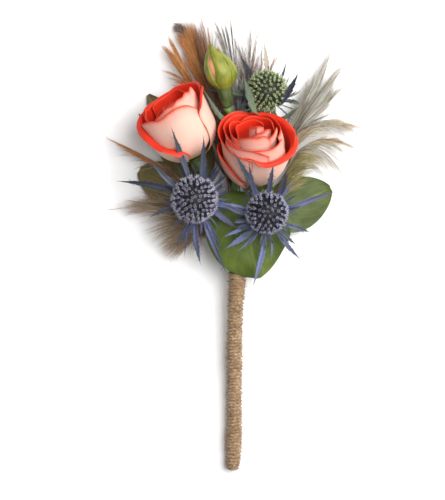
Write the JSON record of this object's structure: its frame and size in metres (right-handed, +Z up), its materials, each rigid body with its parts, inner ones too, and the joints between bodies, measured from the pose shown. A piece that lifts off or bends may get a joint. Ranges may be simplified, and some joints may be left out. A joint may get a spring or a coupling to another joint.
{
  "type": "boutonniere",
  "caption": "Wired boutonniere of coral spray roses, a rosebud, blue sea-holly heads, leaves and feathers, with a jute-wrapped handle, lying on its back.",
  "frame": {"origin": "centre of the object's box in plan, on the surface that the boutonniere lies on", "axes": "+Z up from that surface, towards the viewer of the picture; +Y along the handle towards the flowers; +X to the right as seen from above"},
  "size_m": [0.1071, 0.1853, 0.048],
  "materials": {
    "jute_twine": "matte",
    "floral_tape": "satin",
    "green_stem": "satin",
    "sepal_green": "satin",
    "rose_petal": "matte",
    "bud_petal": "matte",
    "thistle_floret": "matte",
    "thistle_bract": "matte",
    "leaf_green": "satin",
    "copper_feather": "matte",
    "grey_brown_feather": "matte"
  },
  "bodies": {
    "root": {"back_thistle_bracts": "thistle_bract", "back_thistle_head": "thistle_floret", "back_thistle_stem": "green_stem", "feather_brown": "grey_brown_feather", "feather_copper": "copper_feather", "feather_copper_split": "copper_feather", "feather_grey_fluff": "grey_brown_feather", "feather_grey_strands": "grey_brown_feather", "feather_wisps": "grey_brown_feather", "floral_tape": "floral_tape", "half_open_rose_calyx": "sepal_green", "half_open_rose_heart": "rose_petal", "half_open_rose_petal_01": "rose_petal", "half_open_rose_petal_02": "rose_petal", "half_open_rose_petal_03": "rose_petal", "half_open_rose_petal_04": "rose_petal", "half_open_rose_petal_05": "rose_petal", "half_open_rose_petal_06": "rose_petal", "half_open_rose_petal_07": "rose_petal", "half_open_rose_petal_08": "rose_petal", "half_open_rose_stem": "green_stem", "leaf_front": "leaf_green", "leaf_left": "leaf_green", "leaf_right": "leaf_green", "leaf_upper_left": "leaf_green", "left_thistle_bracts": "thistle_bract", "left_thistle_head": "thistle_floret", "left_thistle_stem": "green_stem", "open_rose_calyx": "sepal_green", "open_rose_heart": "rose_petal", "open_rose_petal_01": "rose_petal", "open_rose_petal_02": "rose_petal", "open_rose_petal_03": "rose_petal", "open_rose_petal_04": "rose_petal", "open_rose_petal_05": "rose_petal", "open_rose_petal_06": "rose_petal", "open_rose_petal_07": "rose_petal", "open_rose_petal_08": "rose_petal", "open_rose_petal_09": "rose_petal", "open_rose_petal_10": "rose_petal", "open_rose_petal_11": "rose_petal", "open_rose_petal_12": "rose_petal", "open_rose_petal_13": "rose_petal", "open_rose_petal_14": "rose_petal", "open_rose_stem": "green_stem", "plume_left_1": "grey_brown_feather", "plume_left_2": "grey_brown_feather", "plume_left_3": "grey_brown_feather", "plume_right_1": "grey_brown_feather", "plume_right_2": "grey_brown_feather", "plume_right_3": "grey_brown_feather", "plume_right_4": "grey_brown_feather", "right_thistle_bracts": "thistle_bract", "right_thistle_head": "thistle_floret", "right_thistle_stem": "green_stem", "rosebud_calyx": "sepal_green", "rosebud_petals": "bud_petal", "rosebud_stem": "green_stem", "twine_wrap": "jute_twine"}
  },
  "joints": []
}
